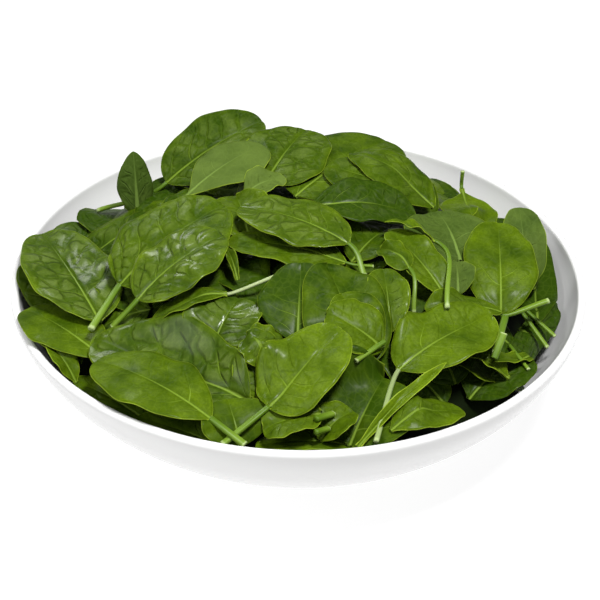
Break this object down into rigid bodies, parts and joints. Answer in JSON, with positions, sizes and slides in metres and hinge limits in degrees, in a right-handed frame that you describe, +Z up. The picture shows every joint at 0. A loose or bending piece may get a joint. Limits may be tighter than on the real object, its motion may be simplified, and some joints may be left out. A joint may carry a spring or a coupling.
{
  "type": "bowl of spinach",
  "caption": "Wide shallow white bowl with a flared wall and a low foot ring, heaped above its rim with loose baby spinach leaves and their stems.",
  "frame": {"origin": "centre of the foot ring's underside, on the surface the bowl stands on", "axes": "+Z up, -Y towards the side that the picture shows, +X to its right"},
  "size_m": [0.2596, 0.2596, 0.1015],
  "materials": {
    "porcelain": "glazed white",
    "leaf": "waxy green with yellow-green edges and veins"
  },
  "bodies": {
    "root": {"bowl": "porcelain", "spinach": "leaf"}
  },
  "joints": []
}
